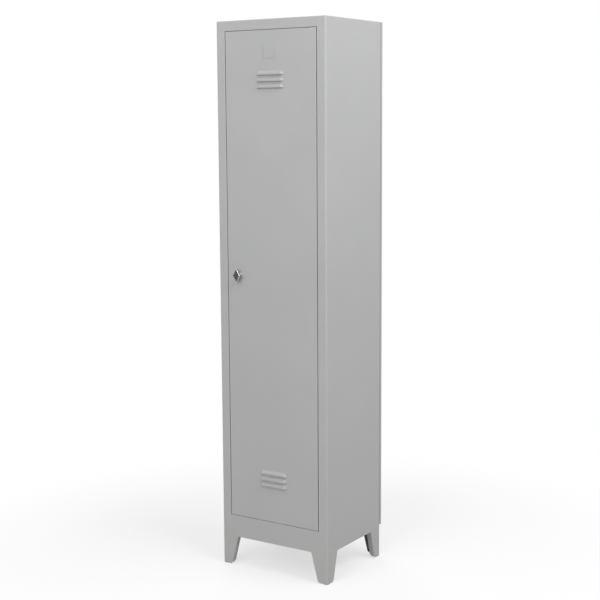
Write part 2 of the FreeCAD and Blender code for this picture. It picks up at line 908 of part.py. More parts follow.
def door_stiffener():
    """A hat channel up the middle of the door's inner face."""
    body = new_body("door_stiffener", 0, size.sheet, door_middle)
    half = size.stiffener_width / 2
    wall = size.sheet
    deep = size.stiffener_depth
    right = [
        (half - wall, 0), (half + size.stiffener_flange, 0), (half + size.stiffener_flange, wall),
        (half, wall), (half, deep),
    ]
    left = [(-across, depth) for across, depth in reversed(right)]
    profile = [(half - wall, deep - wall)] + right + left + [(-half + wall, deep - wall)]
    rise = size.stiffener_length / 2
    add(body, "z", -rise, rise, profile)
    bend(body, "z", size.edge_radius, both_sides(half, deep), both_sides(half - wall, deep - wall))


def lock_rosette():
    """The turned collar round the spindle, with its threaded barrel."""
    body = new_body("lock_rosette", lock_x, 0, size.lock_height)
    rim = -size.rosette_height
    add(body, "y", rim, 0, Circle(0, 0, size.rosette_radius))
    round_off(body, size.rosette_round, edges_at_depth(rim))
    add(body, "y", 0, size.barrel_length, Circle(0, 0, size.barrel_radius))
    bore = Circle(0, 0, size.spindle_radius + size.running_clearance)
    cut(body, "y", rim, size.barrel_length, bore)


def lock_nut():
    """A hexagon nut that clamps the rosette to the door's face."""
    body = new_body("lock_nut", lock_x, size.sheet, size.lock_height)
    half = size.nut_size / 2
    corner = half * HEXAGON_SIDE_SHARE
    hexagon = [
        (-half, -corner), (0, -2 * corner), (half, -corner), (half, corner), (0, 2 * corner), (-half, corner),
    ]
    add(body, "y", 0, size.nut_height, hexagon)
    cut(body, "y", 0, size.nut_height, Circle(0, 0, size.barrel_radius + size.seat_clearance))


def turn_handle():
    """The lozenge-shaped knob on its neck, with the spindle that carries the cam on its square end."""
    body = new_body("turn_handle", lock_x, 0, size.lock_height)

    def lozenge(width, length):
        return [(0, -length / 2), (width / 2, 0), (0, length / 2), (-width / 2, 0)]

    loft(
        body, "AdditiveLoft",
        [
            (-size.handle_root_reach, lozenge(size.handle_root_width, size.handle_root_length)),
            (-size.handle_waist_reach, lozenge(size.handle_width, size.handle_length)),
            (-size.lock_reach, lozenge(size.handle_face_width, size.handle_face_length)),
        ],
    )
    add(body, "y", -size.handle_root_reach, handle_back, Circle(0, 0, size.handle_neck_radius))
    add(body, "y", handle_back, cam_front, Circle(0, 0, size.spindle_radius))
    tang = size.tang_size / 2
    add(body, "y", cam_front, cam_back, rectangle(-tang, -tang, tang, tang))
    thread = Circle(0, 0, size.cam_screw_radius + size.seat_clearance)
    cut(body, "y", cam_back - size.cam_screw_length, cam_back, thread)


def latch_cam():
    """The tongue that hangs down when the door is free and turns behind the frame's stop lip."""
    body = new_body("latch_cam", lock_x, 0, size.lock_height)
    half = size.cam_width / 2
    add(body, "y", cam_front, cam_back, rectangle(-half, -size.cam_length, half, size.cam_heel))
    round_off(
        body, size.cam_corner,
        edges_along("y", *both_sides(half, -size.cam_length), *both_sides(half, size.cam_heel)),
    )
    hole = size.tang_size / 2 + size.seat_clearance
    cut(body, "y", cam_front, cam_back, rectangle(-hole, -hole, hole, hole))


def cam_screw():
    """The screw that holds the cam on the spindle."""
    body = new_body("cam_screw", lock_x, 0, size.lock_height)
    head_back = cam_back + size.cam_screw_head_height
    add(body, "y", cam_back - size.cam_screw_length, cam_back, Circle(0, 0, size.cam_screw_radius))
    add(body, "y", cam_back, head_back, Circle(0, 0, size.cam_screw_head_radius))


def door_buffers():
    """Rubber dots on the stop lip that the closed door rests against."""
    body = new_body("door_buffers")
    across = -(opening_half - size.stop_lip + size.buffer_radius)
    heights = (door_bottom + size.buffer_end_distance, door_top - size.buffer_end_distance)
    add(
        body, "y", size.door_depth + size.buffer_gap, size.frame_return - size.sheet,
        *[Circle(across, height, size.buffer_radius) for height in heights],
    )


def export_pieces():
    """Checks every object of the document, then writes one file for each piece."""
    for item in document.Objects:
        if "Invalid" in item.State or "Error" in item.State:
            raise RuntimeError(f"{item.Label} failed: {item.State}")
        if item.TypeId == "PartDesign::Pocket" and item.Shape.Volume > item.BaseFeature.Shape.Volume - NEAR:
            raise RuntimeError(f"{item.Label} takes nothing off its piece")
    for piece in pieces:
        if piece.Shape.isNull() or not piece.Shape.isValid():
            raise RuntimeError(f"{piece.Label} has no valid shape")
    os.makedirs("parts", exist_ok=True)
    for piece in pieces:
        piece.Shape.exportStep(f"parts/{piece.Label}.step")


def build():
    top_panel()
    base_panel()
    left_side_panel()
    right_side_panel()
    back_panel()
    legs()
    floor_glides()
    hat_shelf()
    shelf_support("left_shelf_support", -1)
    shelf_support("right_shelf_support", 1)
    hanging_rail()
    rail_socket("left_rail_socket", -1)
    rail_socket("right_rail_socket", 1)
    hinges()
    hinge_rivets()
    door_panel()
    door_stiffener()
    lock_rosette()
    lock_nut()
    turn_handle()
    latch_cam()
    cam_screw()
    door_buffers()
    document.recompute()
    export_pieces()


build()
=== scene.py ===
import json
import math

import bmesh
import bpy
from mathutils import Matrix, Vector


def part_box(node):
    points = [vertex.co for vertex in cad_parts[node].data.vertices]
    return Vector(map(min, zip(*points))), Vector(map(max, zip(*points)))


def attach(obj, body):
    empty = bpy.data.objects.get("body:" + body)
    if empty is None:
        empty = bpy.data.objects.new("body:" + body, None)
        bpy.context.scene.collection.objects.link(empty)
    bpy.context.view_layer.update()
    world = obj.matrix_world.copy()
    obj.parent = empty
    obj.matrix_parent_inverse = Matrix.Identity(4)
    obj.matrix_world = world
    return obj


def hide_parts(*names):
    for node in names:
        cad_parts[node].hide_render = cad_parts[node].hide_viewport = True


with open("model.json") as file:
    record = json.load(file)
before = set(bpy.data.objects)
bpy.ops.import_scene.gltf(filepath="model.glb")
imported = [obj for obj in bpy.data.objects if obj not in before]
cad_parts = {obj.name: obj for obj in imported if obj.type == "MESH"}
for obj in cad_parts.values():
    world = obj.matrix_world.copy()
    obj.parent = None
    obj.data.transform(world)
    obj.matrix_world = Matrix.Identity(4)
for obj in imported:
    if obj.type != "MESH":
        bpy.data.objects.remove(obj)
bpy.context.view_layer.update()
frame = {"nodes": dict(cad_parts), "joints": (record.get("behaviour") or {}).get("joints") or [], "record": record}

MM = 0.001
nodes = frame["nodes"]
joints = {joint["name"]: joint for joint in frame["joints"]}
slot_of = {entry["node"]: entry["material_slot"] for entry in frame["record"]["subparts"]}
body_of = {node: body for body, held in frame["record"]["behaviour"]["bodies"].items() for node in held}
lock_place = Vector(joints["latch_turn"]["pos_m"])  # on the door's face, in the middle of the rosette

ACROSS = Vector((1, 0, 0))
INWARD = Vector((0, 1, 0))
UP = Vector((0, 0, 1))

# How the meshes are made.
MERGE_DISTANCE = 0.001 * MM
ROUND_STEPS = 48
HEXAGON_CUTS = ROUND_STEPS // 6 - 1  # give a hexagon as many points as a round has
SHARP_ANGLE = math.radians(30)
CREASE_ANGLE = math.radians(0.3)  # where two flats meet
FLAT_LIKENESS = math.cos(CREASE_ANGLE)
FLAT_WIDTH = 1.5 * MM  # narrower strips aren't flats
FACE_STRENGTH = "__mod_weightednormals_faceweight"  # what the Weighted Normal modifier reads
STRONG = 16384

# The photograph's camera, solved from the straight edges of the object.
CAMERA_PLACE = Vector((2.2824, -3.4917, 1.4837))
CAMERA_YAW = math.radians(33.17)
CAMERA_DOWN = math.radians(8.04)
CAMERA_ROLL = math.radians(-0.343)
CAMERA_LENS_MM = 76.1
SENSOR_MM = 36


class Value:
    """A socket whose arithmetic adds Math nodes to its finish."""

    def __init__(self, finish, socket):
        self.finish = finish
        self.socket = socket

    def math(self, operation, first, second):
        return self.finish.node("ShaderNodeMath", {"operation": operation}, {0: first, 1: second})

    def __add__(self, other):
        return self.math("ADD", self, other)

    __radd__ = __add__

    def __sub__(self, other):
        return self.math("SUBTRACT", self, other)

    def __rsub__(self, other):
        return self.math("SUBTRACT", other, self)

    def __mul__(self, other):
        return self.math("MULTIPLY", self, other)

    __rmul__ = __mul__

    def above(self, floor):
        return self.math("MAXIMUM", self, floor)

    def spread(self, low, high, start=0.0, end=1.0):
        """The value's run from low to high laid over start to end, held at both ends."""
        settings = {"clamp": True, "interpolation_type": "SMOOTHSTEP"}
        inputs = {0: self, 1: low, 2: high, 3: start, 4: end}
        return self.finish.node("ShaderNodeMapRange", settings, inputs)


class Finish:
    """The nodes of a material or of the world."""

    def __init__(self, name, owner=None):
        self.owner = owner or bpy.data.materials.new(name)
        self.owner.use_nodes = True
        self.tree = self.owner.node_tree
        self.tree.nodes.clear()

    def node(self, kind, settings=None, inputs=None, output=0):
        """Adds a node, sets it up, feeds its sockets and gives back one output."""
        item = self.tree.nodes.new(kind)
        for name, setting in (settings or {}).items():
            setattr(item, name, setting)
        for name, given in (inputs or {}).items():
            if isinstance(given, Value):
                self.tree.links.new(given.socket, item.inputs[name])
            else:
                item.inputs[name].default_value = given
        return Value(self, item.outputs[output]) if item.outputs else None

    def place(self):
        return self.node("ShaderNodeTexCoord", output="Object")

    def height(self):
        """Height above the floor, in metres."""
        return self.node("ShaderNodeSeparateXYZ", {}, {0: self.place()}, output="Z")

    def depth(self):
        """Distance back from the middle of the object, in metres."""
        return self.node("ShaderNodeSeparateXYZ", {}, {0: self.place()}, output="Y")

    def stretched(self, factors):
        """Object coordinates drawn out along some axes."""
        return self.node("ShaderNodeMapping", {}, {"Vector": self.place(), "Scale": factors})

    def noise(self, size, detail=2.0, place=None):
        """Noise from 0 to 1 with features of about the given size in metres."""
        inputs = {"Vector": place or self.place(), "Scale": 1.0 / size, "Detail": detail}
        return self.node("ShaderNodeTexNoise", {}, inputs)

    def cells(self, size):
        """One random value from 0 to 1 for each cell of about the given size in metres."""
        inputs = {"Vector": self.place(), "Scale": 1.0 / size}
        colour = self.node("ShaderNodeTexVoronoi", {}, inputs, output="Color")
        return self.node("ShaderNodeSeparateColor", {}, {0: colour})

    def near(self, centre, inner, outer):
        """1 within the inner distance of a point, falling to 0 at the outer one."""
        inputs = {0: self.place(), 1: centre}
        distance = self.node("ShaderNodeVectorMath", {"operation": "DISTANCE"}, inputs, output="Value")
        return distance.spread(inner, outer, 1.0, 0.0)

    def edges(self, radius):
        """1 on edges sharper than the radius, 0 on flats."""
        rounded = self.node("ShaderNodeBevel", {"samples": 4}, {"Radius": radius})
        flat = self.node("ShaderNodeNewGeometry", output="Normal")
        inputs = {0: rounded, 1: flat}
        likeness = self.node("ShaderNodeVectorMath", {"operation": "DOT_PRODUCT"}, inputs, output="Value")
        return (1.0 - likeness).spread(0.01, 0.25)

    def mix(self, share, first, second):
        """A colour between two."""
        inputs = {0: share, 6: first, 7: second}
        return self.node("ShaderNodeMix", {"data_type": "RGBA"}, inputs, output=2)

    def bump(self, height, strength, depth):
        return self.node("ShaderNodeBump", {}, {"Strength": strength, "Distance": depth, "Height": height})

    def close(self, shader):
        self.node("ShaderNodeOutputMaterial", {}, {"Surface": shader})
        return self.owner

    def finish(self, **sockets):
        """Feeds a Principled shader, by socket names with spaces as underscores, and closes the tree."""
        named = {name.replace("_", " "): given for name, given in sockets.items()}
        return self.close(self.node("ShaderNodeBsdfPrincipled", {}, named))


def grey(level, tint=0.0):
    """A grey that leans to blue with a positive tint and to yellow with a negative one."""
    return (level * (1 - tint), level, level * (1 + tint), 1.0)


def grey_paint():
    """Satin powder coat: fine peel, a faint drift of tone, rubbed edges, dust low down."""
    paint = Finish("grey_paint")
    drift = paint.noise(0.22, 3.0).spread(0.3, 0.7)
    grain = paint.noise(0.0009, 1.0)
    peel = paint.noise(0.0022, 2.0)
    low = paint.height().spread(0.0, 0.9, 1.0, 0.0)
    dust = paint.height().spread(0.0, 0.22, 1.0, 0.0) * paint.noise(0.02, 4.0).spread(0.4, 0.75)
    rubbed = paint.edges(1.2 * MM) * paint.noise(0.014, 3.0).spread(0.35, 0.65)
    handled = paint.near(lock_place, 0.02, 0.14) * paint.noise(0.03, 3.0).spread(0.3, 0.7)
    tone = paint.mix(drift, grey(0.452, 0.004), grey(0.468, 0.004))
    tone = paint.mix(low * 0.5, tone, grey(0.455, -0.012))
    tone = paint.mix(grain * 0.06, tone, grey(0.30))
    tone = paint.mix(dust * 0.22, tone, grey(0.36, -0.06))
    tone = paint.mix(rubbed * 0.16, tone, grey(0.54))
    roughness = drift.spread(0.0, 1.0, 0.41, 0.47) + grain * 0.05 + dust * 0.12
    roughness = roughness - handled * 0.10 - rubbed * 0.08
    return paint.finish(
        Base_Color=tone, Roughness=roughness, Specular_IOR_Level=0.4,
        Normal=paint.bump(peel + grain * 0.35, 0.10, 0.25 * MM),
    )


# Reach out of the door between which the chrome changes: painted shade darkens it behind the knob's face, and it
# goes satin on the collar.
PAINTED_SHADE_FROM = 19 * MM
PAINTED_SHADE_TO = 16 * MM
SATIN_FROM = 4.4 * MM
SATIN_TO = 4.0 * MM


def chrome():
    """Polished chrome with finger marks and hairline scratches."""
    plate = Finish("chrome")
    smear = plate.noise(0.006, 4.0).spread(0.42, 0.7)
    hair = plate.noise(0.0007, 3.0, plate.stretched((1.0, 1.0, 0.12))).spread(0.55, 0.75)
    worn = plate.edges(0.5 * MM) * plate.noise(0.004, 2.0).spread(0.4, 0.7)
    behind = plate.depth().spread(lock_place.y - PAINTED_SHADE_FROM, lock_place.y - PAINTED_SHADE_TO)
    satin = plate.depth().spread(lock_place.y - SATIN_FROM, lock_place.y - SATIN_TO)
    tone = plate.mix(smear, grey(0.66, 0.012), grey(0.58, 0.008))
    tone = plate.mix(worn * 0.4, tone, grey(0.50, -0.05))
    # painted shade: the chrome's colour is darkened behind the knob's face, standing in for the shaded door that
    # its flanks mirror
    tone = plate.mix(behind * 0.6, tone, grey(0.40))
    return plate.finish(
        Base_Color=tone, Metallic=1.0,
        Roughness=smear * 0.10 + hair * 0.08 + satin * 0.22 + 0.10,
        Normal=plate.bump(hair, 0.05, 0.05 * MM),
    )


def zinc():
    """Bright zinc plate with a faint spangle and drawn lines."""
    plate = Finish("zinc")
    spangle = plate.cells(0.004)
    lines = plate.noise(0.0008, 2.0, plate.stretched((0.08, 1.0, 1.0)))
    dull = plate.noise(0.012, 4.0).spread(0.45, 0.75)
    tone = plate.mix(spangle, grey(0.50, 0.03), grey(0.60, -0.02))
    tone = plate.mix(dull * 0.45, tone, grey(0.42, -0.03))
    return plate.finish(
        Base_Color=tone, Metallic=1.0,
        Roughness=spangle * 0.10 + lines * 0.10 + dull * 0.14 + 0.24,
        Normal=plate.bump(lines, 0.10, 0.06 * MM),
    )


def rubber():
    """Soft black rubber with a bloom of dust."""
    skin = Finish("rubber")
    bloom = skin.noise(0.0025, 4.0).spread(0.4, 0.75)
    return skin.finish(
        Base_Color=skin.mix(bloom, grey(0.022), grey(0.06, -0.05)),
        Roughness=bloom * 0.16 + 0.66,
        Normal=skin.bump(skin.noise(0.0004, 2.0), 0.2, 0.06 * MM),
    )


def black_plastic():
    """Moulded black plastic with a fine spark texture, scuffed on its edges."""
    skin = Finish("black_plastic")
    spark = skin.noise(0.0005, 2.0)
    scuff = skin.noise(0.008, 4.0).spread(0.5, 0.75)
    rubbed = skin.edges(0.8 * MM) * scuff
    tone = skin.mix(scuff * 0.5, grey(0.026), grey(0.05))
    tone = skin.mix(rubbed * 0.6, tone, grey(0.12))
    return skin.finish(
        Base_Color=tone, Roughness=spark * 0.12 + scuff * 0.10 + 0.42,
        Normal=skin.bump(spark, 0.25, 0.08 * MM),
    )


FINISHES = {make.__name__: make() for make in (grey_paint, chrome, zinc, rubber, black_plastic)}


def sharp_edges(shape, angle=SHARP_ANGLE):
    return [edge for edge in shape.edges if edge.is_manifold and edge.calc_face_angle() > angle]


def ease(shape, radius, segments=2, edges=None):
    """Rounds the sharp edges of a shape."""
    bmesh.ops.bevel(
        shape, geom=edges or sharp_edges(shape), offset=radius, offset_type="OFFSET", segments=segments,
        profile=0.5, affect="EDGES", material=-1, clamp_overlap=False, miter_outer="ARC",
    )


def turned(shape, profile, centre, axis, steps=ROUND_STEPS):
    """Adds a turned solid from a profile of (distance along the axis, radius).

    The profile starts and ends on the axis, or ends where it starts.
    """
    side = axis.orthogonal().normalized()
    verts = [shape.verts.new(centre + axis * along + side * radius) for along, radius in profile]
    edges = [shape.edges.new(pair) for pair in zip(verts, verts[1:])]
    bmesh.ops.spin(
        shape, geom=verts + edges, cent=centre, axis=axis, angle=2 * math.pi, steps=steps, use_merge=True,
    )
    bmesh.ops.remove_doubles(shape, verts=shape.verts, dist=MERGE_DISTANCE)
    bmesh.ops.dissolve_degenerate(shape, edges=shape.edges, dist=MERGE_DISTANCE)


def only(kind, parts):
    return [part for part in parts if isinstance(part, kind)]


def thicken(shape, faces, by):
    """Makes a solid of flat faces by drawing them out."""
    far = bmesh.ops.extrude_face_region(shape, geom=faces)["geom"]
    bmesh.ops.translate(shape, verts=only(bmesh.types.BMVert, far), vec=by)


def prism(shape, section, start, end):
    """Adds a straight bar: an outline of points moved from one place to another."""
    face = shape.faces.new([shape.verts.new(point + start) for point in section])
    thicken(shape, [face], end - start)


def stacked(shape, sections):
    """Adds a solid through closed outlines of equal numbers of points, with flat ends."""
    loops = [[shape.verts.new(point) for point in section] for section in sections]
    rings = []
    for loop in loops:
        rings += [shape.edges.new(pair) for pair in zip(loop, loop[1:] + loop[:1])]
    bmesh.ops.bridge_loops(shape, edges=rings)
    for loop in (loops[0], loops[-1]):
        shape.faces.new(loop)


def flat_faces(shape):
    """The faces of the flats that are wide enough to show, and not the strips of bends and eased edges."""
    seen = set()
    found = []
    for face in shape.faces:
        if face in seen:
            continue
        seen.add(face)
        flat = [face]
        for member in flat:
            beside = {other for edge in member.edges for other in edge.link_faces} - seen
            level = [other for other in beside if other.normal.dot(face.normal) > FLAT_LIKENESS]
            seen.update(level)
            flat += level
        corners = [vert.co for member in flat for vert in member.verts]
        reach = max((corner - corners[0]).length for corner in corners)
        if sum(member.calc_area() for member in flat) > reach * FLAT_WIDTH:
            found += flat
    return found


def add_piece(name, shape, node):
    """Makes a shape a piece that stands for a CAD node, on its body and in its finish."""
    bmesh.ops.recalc_face_normals(shape, faces=shape.faces)
    for face in shape.faces:
        face.smooth = True
    strength = shape.faces.layers.int.new(FACE_STRENGTH)
    for face in flat_faces(shape):
        face[strength] = STRONG
    for edge in shape.edges:
        between_flats = all(face[strength] for face in edge.link_faces)
        limit = CREASE_ANGLE if between_flats else SHARP_ANGLE
        edge.smooth = edge.calc_face_angle(math.pi) < limit
    mesh = bpy.data.meshes.new(name)
    shape.to_mesh(mesh)
    shape.free()
    mesh.materials.append(FINISHES[slot_of[node]])
    piece = bpy.data.objects.new(name, mesh)
    bpy.context.scene.collection.objects.link(piece)
    evened = piece.modifiers.new("even_flats", "WEIGHTED_NORMAL")
    evened.keep_sharp = True
    evened.use_face_influence = True
    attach(piece, body_of[node])
    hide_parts(node)


# Pieces of sheet and plate, with the radius that eases their cut edges.
SHEET_EASE = 0.22 * MM
PLATE_EASE = 0.4 * MM
MOULDED_EASE = 1.0 * MM
HINGES = ("upper", "middle", "lower")
HINGE_LEAVES = tuple(f"{place}_hinge_{leaf}" for place in HINGES for leaf in ("lug", "bracket"))
PLATES = ("latch_cam", "left_shelf_support", "right_shelf_support") + HINGE_LEAVES
SHEETS = (
    "top_panel", "base_panel", "left_side_panel", "right_side_panel", "back_panel",
    "front_left_leg", "front_right_leg", "rear_left_leg", "rear_right_leg",
    "hat_shelf", "hanging_rail", "door_panel", "door_stiffener",
)


def roomy(edge, room):
    """Whether the faces on both sides of an edge are wider than the room that its rounding takes."""
    return all(2 * face.calc_area() > room * edge.calc_length() for face in edge.link_faces)


def soften(node, radius, room=0.0):
    """A copy of a CAD node, joined up, with its cut edges eased where there is room beside them."""
    shape = bmesh.new()
    shape.from_mesh(nodes[node].data)
    bmesh.ops.remove_doubles(shape, verts=shape.verts, dist=MERGE_DISTANCE)
    ease(shape, radius, edges=[edge for edge in sharp_edges(shape) if roomy(edge, room)])
    add_piece(f"{node}_finished", shape, node)


def soften_sheet_and_plate():
    for node in SHEETS:
        soften(node, SHEET_EASE, room=SHEET_EASE)
    for node in PLATES:
        soften(node, PLATE_EASE)
    soften("floor_glides", MOULDED_EASE)


def metres(profile):
    """A profile in metres from one in millimetres."""
    return [(along * MM, radius * MM) for along, radius in profile]


def lock_profile(points):
    """A profile along the inward axis from (reach out of the door, radius) in millimetres."""
    return metres([(-reach, radius) for reach, radius in points])


# The rosette in millimetres, as (reach out of the door, radius).
COLLAR_FACE = [(0.0, 10.5), (1.8, 10.5), (2.6, 10.3), (3.3, 9.8), (3.8, 9.0), (4.0, 8.0)]
COLLAR_GROOVE = [(4.0, 6.4), (3.6, 6.1), (3.6, 5.5), (4.0, 5.2)]
BARREL_FOOT = (0.0, 8.0)
BARREL_TIP = (-18.0, 7.4)
SPINDLE_BORE = [(4.0, 4.08), (-18.0, 4.08)]
THREAD_START = -1.0
THREAD_END = -17.0
THREAD_PITCH = 1.5
THREAD_CREST = 8.0
THREAD_ROOT = 7.5


def rosette():
    """A turned collar with a groove round the spindle, and its threaded barrel."""
    thread = []
    reach = THREAD_START
    while reach > THREAD_END:
        thread += [(reach, THREAD_CREST), (reach - THREAD_PITCH / 2, THREAD_ROOT)]
        reach -= THREAD_PITCH
    outside = [BARREL_TIP] + thread[::-1] + [BARREL_FOOT] + COLLAR_FACE + COLLAR_GROOVE
    shape = bmesh.new()
    turned(shape, lock_profile(SPINDLE_BORE[1:] + outside + SPINDLE_BORE), lock_place, INWARD)
    add_piece("turned_rosette", shape, "lock_rosette")


# The knob's lozenge outlines in millimetres: reach out of the door, fall of the long ends, width and length.
KNOB_OUTLINES = (
    (9.5, 0.0, 27.0, 44.0),
    (18.75, 1.2, 28.0, 46.0),
    (20.0, 1.2, 25.0, 41.0),
)
KNOB_EASE = 0.3 * MM
KNOB_EASE_STEPS = 3
KNOB_EDGE_ANGLE = math.radians(12)
FACES_OUT = 0.9  # least part of a normal along the lock's axis on the knob's two ends
KNOB_NECK = [(10.0, 0.0), (10.0, 7.6), (9.2, 7.2), (8.4, 7.0), (5.4, 7.0), (4.8, 6.8), (4.5, 6.3)]
SPINDLE = [(4.5, 4.0), (-24.6, 4.0), (-25.0, 3.6), (-25.0, 0.0)]
TANG_HALF = 2.75 * MM
TANG_START = 25.0 * MM
TANG_END = 27.5 * MM


def knob():
    """The faceted lozenge on its neck, with the spindle and its square tang."""
    outlines = []
    for reach, fall, width, length in KNOB_OUTLINES:
        side = width / 2
        end = length / 2
        corners = ((0.0, fall, -end), (side, 0.0, 0.0), (0.0, fall, end), (-side, 0.0, 0.0))
        outlines.append([lock_place + Vector((x, back - reach, z)) * MM for x, back, z in corners])
    shape = bmesh.new()
    stacked(shape, outlines)
    bmesh.ops.triangulate(shape, faces=[face for face in shape.faces if abs(face.normal.y) > FACES_OUT])
    bmesh.ops.recalc_face_normals(shape, faces=shape.faces)
    ease(shape, KNOB_EASE, KNOB_EASE_STEPS, edges=sharp_edges(shape, KNOB_EDGE_ANGLE))
    turned(shape, lock_profile(KNOB_NECK + SPINDLE), lock_place, INWARD)
    signs = ((-1, -1), (1, -1), (1, 1), (-1, 1))
    tang = [ACROSS * (x * TANG_HALF) + UP * (z * TANG_HALF) for x, z in signs]
    prism(shape, tang, lock_place + INWARD * TANG_START, lock_place + INWARD * TANG_END)
    add_piece("wing_handle", shape, "turn_handle")


NUT_BORE = 8.05 * MM
NUT_EASE = 0.6 * MM


def clamp_nut():
    """A hexagon nut with eased corners."""
    low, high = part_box("lock_nut")
    corner = (high.x - low.x) / math.sqrt(3)
    turn = Matrix.Rotation(math.pi / 2, 4, "X")
    place = Matrix.Translation(Vector((lock_place.x, low.y, lock_place.z))) @ turn
    shape = bmesh.new()
    bmesh.ops.create_circle(shape, segments=6, radius=corner, matrix=place)
    bmesh.ops.subdivide_edges(shape, edges=shape.edges[:], cuts=HEXAGON_CUTS)
    bmesh.ops.create_circle(shape, segments=ROUND_STEPS, radius=NUT_BORE, matrix=place)
    bmesh.ops.bridge_loops(shape, edges=shape.edges)
    bmesh.ops.recalc_face_normals(shape, faces=shape.faces)
    thicken(shape, shape.faces[:], INWARD * (high.y - low.y))
    bmesh.ops.recalc_face_normals(shape, faces=shape.faces)
    ease(shape, NUT_EASE)
    add_piece("clamp_nut", shape, "lock_nut")


# The cam's screw in millimetres, as (reach out of the door, radius), with its hexagon socket.
SCREW_TIP = [(-15.5, 0.0), (-15.5, 1.6), (-16.0, 2.0)]
SCREW_HEAD = [(-27.5, 2.0), (-27.5, 5.0), (-28.6, 4.95), (-29.6, 4.4), (-30.2, 3.5), (-30.5, 2.6)]
SOCKET_CORNER = 2.2 * MM
SOCKET_DEPTH = 1.6 * MM


def cam_screw():
    """A round-headed screw with a hexagon socket.

    The socket comes first: a bridge from its hexagon to a rim that has faces already can come out crossed.
    """
    end, rim = SCREW_HEAD[-1]
    place = Matrix.Translation(lock_place - INWARD * end * MM) @ Matrix.Rotation(math.pi / 2, 4, "X")
    shape = bmesh.new()
    bmesh.ops.create_circle(shape, segments=6, radius=SOCKET_CORNER, matrix=place)
    bmesh.ops.subdivide_edges(shape, edges=shape.edges[:], cuts=HEXAGON_CUTS)
    hexagon = shape.edges[:]
    bmesh.ops.create_circle(shape, segments=ROUND_STEPS, radius=rim * MM, matrix=place)
    bmesh.ops.bridge_loops(shape, edges=shape.edges)
    walls = bmesh.ops.extrude_edge_only(shape, edges=hexagon)["geom"]
    bmesh.ops.translate(shape, verts=only(bmesh.types.BMVert, walls), vec=INWARD * -SOCKET_DEPTH)
    bmesh.ops.contextual_create(shape, geom=only(bmesh.types.BMEdge, walls))
    turned(shape, lock_profile(SCREW_TIP + SCREW_HEAD), lock_place, INWARD)
    add_piece("socket_screw", shape, "cam_screw")


# A hinge pin in millimetres, as (distance, radius): its tip from below, its head from above.
PIN_TIP = [(0.0, 0.0), (0.0, 1.9), (0.6, 2.5)]
PIN_HEAD = [(1.5, 2.5), (1.5, 3.8), (1.3, 4.0), (0.7, 3.85), (0.2, 3.0), (0.0, 1.6), (0.0, 0.0)]


def hinge_pins():
    """Headed pins with an eased tip."""
    for place in HINGES:
        node = f"{place}_hinge_pin"
        low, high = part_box(node)
        centre = Vector(((low.x + high.x) / 2, (low.y + high.y) / 2, low.z))
        length = (high.z - low.z) / MM
        head = [(length - below, radius) for below, radius in PIN_HEAD]
        shape = bmesh.new()
        turned(shape, metres(PIN_TIP + head), centre, UP)
        add_piece(f"{node}_finished", shape, node)


# A rivet's dome in millimetres, as (distance from its top, radius).
RIVET_DOME = [(0.0, 0.0), (0.1, 1.5), (0.5, 2.7), (1.1, 3.4), (1.4, 3.5), (1.4, 2.0)]
RIVET_SPACING = 14.0 * MM
RIVET_STEPS = 24


def rivets():
    """Domed rivets, two through each hinge lug."""
    low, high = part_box("hinge_rivets")
    across = (low.x + high.x) / 2
    depth = (high.y - low.y) / MM
    far = [(depth - along, radius) for along, radius in RIVET_DOME[::-1]]
    shape = bmesh.new()
    for place in HINGES:
        lug_low, lug_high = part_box(f"{place}_hinge_lug")
        for side in (1, -1):
            height = (lug_low.z + lug_high.z) / 2 + side * RIVET_SPACING / 2
            turned(shape, metres(RIVET_DOME + far), Vector((across, low.y, height)), INWARD, RIVET_STEPS)
    add_piece("domed_rivets", shape, "hinge_rivets")


# A buffer's outline as shares of its depth and radius.
BUFFER_DOME = [(0.0, 0.0), (0.0, 0.45), (0.12, 0.72), (0.35, 0.92), (0.6, 1.0), (1.0, 1.0), (1.0, 0.0)]
BUFFER_STEPS = 32


def buffers():
    """Domed rubber dots on the stop lip."""
    low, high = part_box("door_buffers")
    radius = (high.x - low.x) / 2
    depth = high.y - low.y
    profile = [(along * depth, share * radius) for along, share in BUFFER_DOME]
    shape = bmesh.new()
    for height in (low.z + radius, high.z - radius):
        turned(shape, profile, Vector((low.x + radius, low.y, height)), INWARD, BUFFER_STEPS)
    add_piece("domed_buffers", shape, "door_buffers")


# A rail socket in millimetres, as (distance from the side panel, radius).
SOCKET_PLATE = [(0.0, 0.0), (0.0, 17.4), (0.6, 18.0), (1.4, 18.0), (2.0, 17.4), (2.0, 14.4)]
SOCKET_COLLAR = [(2.4, 13.5), (3.2, 13.1), (11.3, 13.1), (12.0, 12.4), (12.0, 10.7), (11.5, 10.1)]
SOCKET_BORE = [(2.0, 10.1), (2.0, 0.0)]


def rail_sockets():
    """Moulded sockets: a round plate with a collar for the rail's end."""
    for side, node in ((-1, "left_rail_socket"), (1, "right_rail_socket")):
        low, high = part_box(node)
        wall = low.x if side < 0 else high.x
        centre = Vector((wall, (low.y + high.y) / 2, (low.z + high.z) / 2))
        shape = bmesh.new()
        turned(shape, metres(SOCKET_PLATE + SOCKET_COLLAR + SOCKET_BORE), centre, ACROSS * -side)
        add_piece(f"{node}_finished", shape, node)


def set_camera():
    data = bpy.data.cameras.new("photo_camera")
    data.lens = CAMERA_LENS_MM
    data.sensor_width = SENSOR_MM
    camera = bpy.data.objects.new("photo_camera", data)
    turn = (
        Matrix.Rotation(CAMERA_YAW, 4, "Z")
        @ Matrix.Rotation(math.pi / 2 - CAMERA_DOWN, 4, "X")
        @ Matrix.Rotation(CAMERA_ROLL, 4, "Z")
    )
    camera.matrix_world = Matrix.Translation(CAMERA_PLACE) @ turn
    bpy.context.scene.collection.objects.link(camera)
    bpy.context.scene.camera = camera


def seen_directly(finish):
    """1 on rays from the camera and those that mirror or pass through, 0 on light falling on the object."""
    rays = ("Is Camera Ray", "Is Glossy Ray", "Is Transmission Ray")
    camera, glossy, passing = [finish.node("ShaderNodeLightPath", output=ray) for ray in rays]
    return camera.above(glossy).above(passing)


